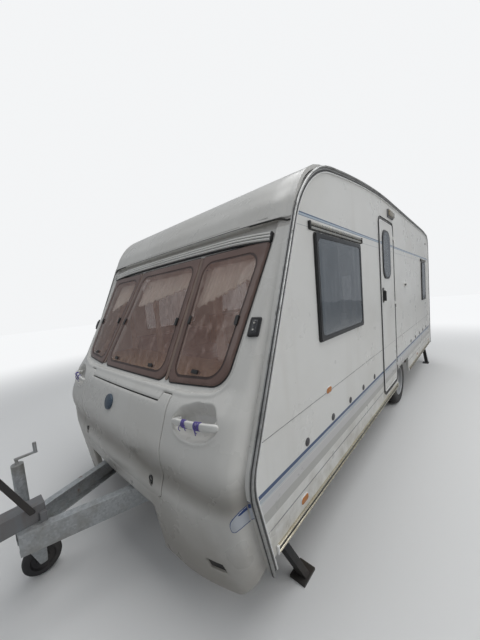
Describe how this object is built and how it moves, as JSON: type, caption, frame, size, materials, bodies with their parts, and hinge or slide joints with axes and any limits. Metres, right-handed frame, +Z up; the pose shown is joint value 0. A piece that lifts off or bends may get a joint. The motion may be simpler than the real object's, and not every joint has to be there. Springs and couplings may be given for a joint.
{
  "type": "travel caravan",
  "caption": "Single-axle touring caravan parked on its wheels, jockey wheel and corner legs, with entrance door, front locker lid and tinted windows.",
  "frame": {"origin": "on the ground, midway between hitch tip and rear bumper, in the middle of the width", "axes": "+X forward to the hitch, +Y to the caravan's left, the door side, +Z up"},
  "size_m": [6.9088, 2.268, 2.5623],
  "materials": {
    "body_white": "gloss",
    "wall_white": "satin",
    "rail_grey": "weathered",
    "trim_gold": "satin",
    "front_glass": "tinted",
    "side_glass": "tinted",
    "lamp_clear": "gloss",
    "lamp_black": "gloss",
    "lamp_red": "gloss",
    "amber": "gloss",
    "plate_yellow": "satin",
    "galvanised": "galvanised",
    "black_steel": "satin",
    "cast_grey": "painted",
    "bellows": "matte",
    "tyre": "matte",
    "wheel_silver": "satin",
    "handle_grey": "matte",
    "floor_ply": "sealed",
    "inside_wood": "satin",
    "upholstery": "woven",
    "curtain": "woven",
    "red_plastic": "satin"
  },
  "bodies": {
    "caravan": {"awning_lamp": "lamp_clear", "awning_rails": "rail_grey", "axle_beam": "galvanised", "chassis_rail_left": "galvanised", "chassis_rail_right": "galvanised", "coupling_handle": "red_plastic", "coupling_head": "cast_grey", "cross_members": "galvanised", "door_catch": "lamp_black", "door_frame": "body_white", "floor_panel": "floor_ply", "front_curtains": "curtain", "front_panel": "body_white", "front_windows": "front_glass", "furniture": "inside_wood", "grab_handles": "body_white", "handbrake_lever": "galvanised", "hatch_box": "body_white", "hitch_gaiter": "bellows", "jockey_outer_tube": "galvanised", "leg_brackets": "galvanised", "locker_bulkhead": "inside_wood", "marker_lamps": "lamp_black", "number_plate": "plate_yellow", "overrun_housing": "galvanised", "rear_bumper": "body_white", "rear_lamps": "lamp_red", "rear_panel": "body_white", "rear_window": "side_glass", "roof_panel": "wall_white", "rooflights": "lamp_clear", "seat_bases": "inside_wood", "seat_cushions": "upholstery", "side_reflectors": "amber", "side_vents": "body_white", "side_wall_left": "wall_white", "side_wall_right": "wall_white", "side_windows": "side_glass", "skirt_trims": "trim_gold", "trailing_arms": "galvanised", "washroom_walls": "inside_wood", "wheel_boxes": "black_steel"},
    "wheel_left": {"tyre_left": "tyre", "wheel_left": "wheel_silver"},
    "wheel_right": {"tyre_right": "tyre", "wheel_right": "wheel_silver"},
    "entrance_door": {"entrance_door": "body_white", "door_window": "side_glass", "door_handle": "handle_grey"},
    "locker_lid": {"locker_lid": "body_white"},
    "service_hatch": {"service_hatch": "body_white"},
    "leg_front_left": {"leg_front_left": "galvanised"},
    "leg_front_right": {"leg_front_right": "galvanised"},
    "leg_rear_left": {"leg_rear_left": "galvanised"},
    "leg_rear_right": {"leg_rear_right": "galvanised"},
    "jockey_tube": {"jockey_tube": "galvanised"},
    "jockey_fork": {"jockey_fork": "galvanised"},
    "jockey_wheel": {"jockey_wheel": "tyre"}
  },
  "joints": [
    {"name": "wheel_spin_left", "type": "hinge", "parent": "caravan", "child": "wheel_left", "pos_m": [-0.846, 0.966, 0.3], "axis": [0, 1, 0], "continuous": true},
    {"name": "wheel_spin_right", "type": "hinge", "parent": "caravan", "child": "wheel_right", "pos_m": [-0.846, -0.966, 0.3], "axis": [0, 1, 0], "continuous": true},
    {"name": "door_hinge", "type": "hinge", "parent": "caravan", "child": "entrance_door", "pos_m": [-0.488, 1.108, 1.3], "axis": [0, 0, 1], "range_deg": [0, 165]},
    {"name": "locker_lid_hinge", "type": "hinge", "parent": "caravan", "child": "locker_lid", "pos_m": [2.27989, 0, 1.098], "axis": [0, -1, 0], "range_deg": [0, 75]},
    {"name": "service_hatch_hinge", "type": "hinge", "parent": "caravan", "child": "service_hatch", "pos_m": [-2.234, -1.108, 0.79], "axis": [0, 0, -1], "range_deg": [0, 110]},
    {"name": "leg_hinge_front_left", "type": "hinge", "parent": "caravan", "child": "leg_front_left", "pos_m": [2.05, 1, 0.4], "axis": [0, 0.9756, 0.2195], "range_deg": [-8, 62]},
    {"name": "leg_hinge_front_right", "type": "hinge", "parent": "caravan", "child": "leg_front_right", "pos_m": [2.05, -1, 0.4], "axis": [0, 0.9756, -0.2195], "range_deg": [-8, 62]},
    {"name": "leg_hinge_rear_left", "type": "hinge", "parent": "caravan", "child": "leg_rear_left", "pos_m": [-3.24, 1, 0.4], "axis": [0, -0.9756, -0.2195], "range_deg": [-8, 62]},
    {"name": "leg_hinge_rear_right", "type": "hinge", "parent": "caravan", "child": "leg_rear_right", "pos_m": [-3.24, -1, 0.4], "axis": [0, -0.9756, 0.2195], "range_deg": [-8, 62]},
    {"name": "jockey_slide", "type": "slide", "parent": "caravan", "child": "jockey_tube", "axis": [0, 0, 1], "range_m": [-0.1, 0.09]},
    {"name": "jockey_swivel", "type": "hinge", "parent": "jockey_tube", "child": "jockey_fork", "pos_m": [2.86, -0.175, 0.23], "axis": [0, 0, 1], "continuous": true},
    {"name": "jockey_wheel_spin", "type": "hinge", "parent": "jockey_fork", "child": "jockey_wheel", "pos_m": [2.814, -0.175, 0.1], "axis": [0, 1, 0], "continuous": true}
  ]
}
